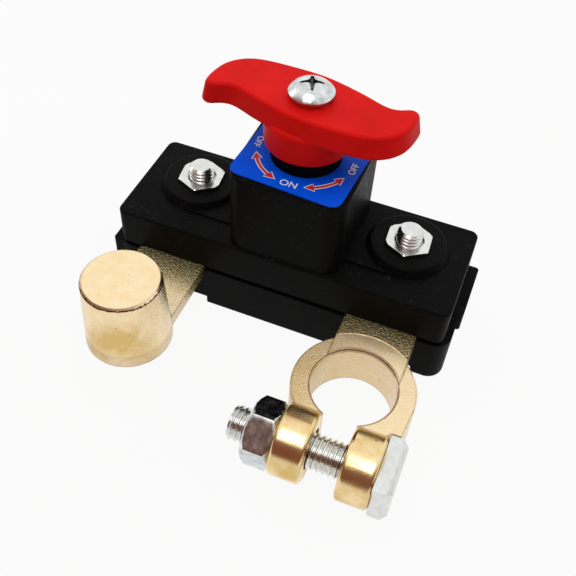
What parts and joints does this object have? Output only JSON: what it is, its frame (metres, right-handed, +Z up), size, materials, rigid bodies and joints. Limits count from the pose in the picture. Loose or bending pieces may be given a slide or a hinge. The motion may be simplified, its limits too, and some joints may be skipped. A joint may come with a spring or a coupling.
{
  "type": "battery disconnect switch",
  "caption": "Battery terminal switch: moulded box with a turning handle on top, a tapered brass post at one end and a split brass clamp at the other.",
  "frame": {"origin": "underside of the box, below the axis of the handle", "axes": "+X along the box towards the clamp, +Y from the terminals to the back, +Z up along the handle's axis"},
  "size_m": [0.0863, 0.0695, 0.0629],
  "materials": {
    "black_plastic": "moulded, satin, lightly grained",
    "red_plastic": "moulded, satin gloss",
    "printed_label": "printed film, semi-gloss",
    "cast_brass": "sand cast, machined on the bore, ears and post",
    "contact_brass": "stamped strip",
    "zinc_steel": "bright zinc plated",
    "bright_steel": "nickel plated, bright",
    "seal_rubber": "black, smooth",
    "white_nylon": "moulded, natural"
  },
  "bodies": {
    "housing": {"base_housing": "black_plastic", "cover_housing": "black_plastic", "label_plate": "printed_label", "post_terminal": "cast_brass", "clamp_terminal": "cast_brass", "box_bolt_left": "zinc_steel", "box_bolt_right": "zinc_steel", "box_nut_left": "zinc_steel", "box_nut_right": "zinc_steel", "clamp_bolt": "zinc_steel", "clamp_nut": "zinc_steel"},
    "rotor": {"spindle": "zinc_steel", "spindle_seal": "seal_rubber", "thrust_washer": "white_nylon", "contact_carrier": "white_nylon", "contact_bridge": "contact_brass", "contact_spring": "zinc_steel", "knob": "red_plastic", "knob_washer": "zinc_steel", "knob_screw": "bright_steel"}
  },
  "joints": [
    {"name": "knob_turn", "type": "hinge", "parent": "housing", "child": "rotor", "pos_m": [0, 0, 0.05], "axis": [0, 0, 1], "continuous": true}
  ]
}
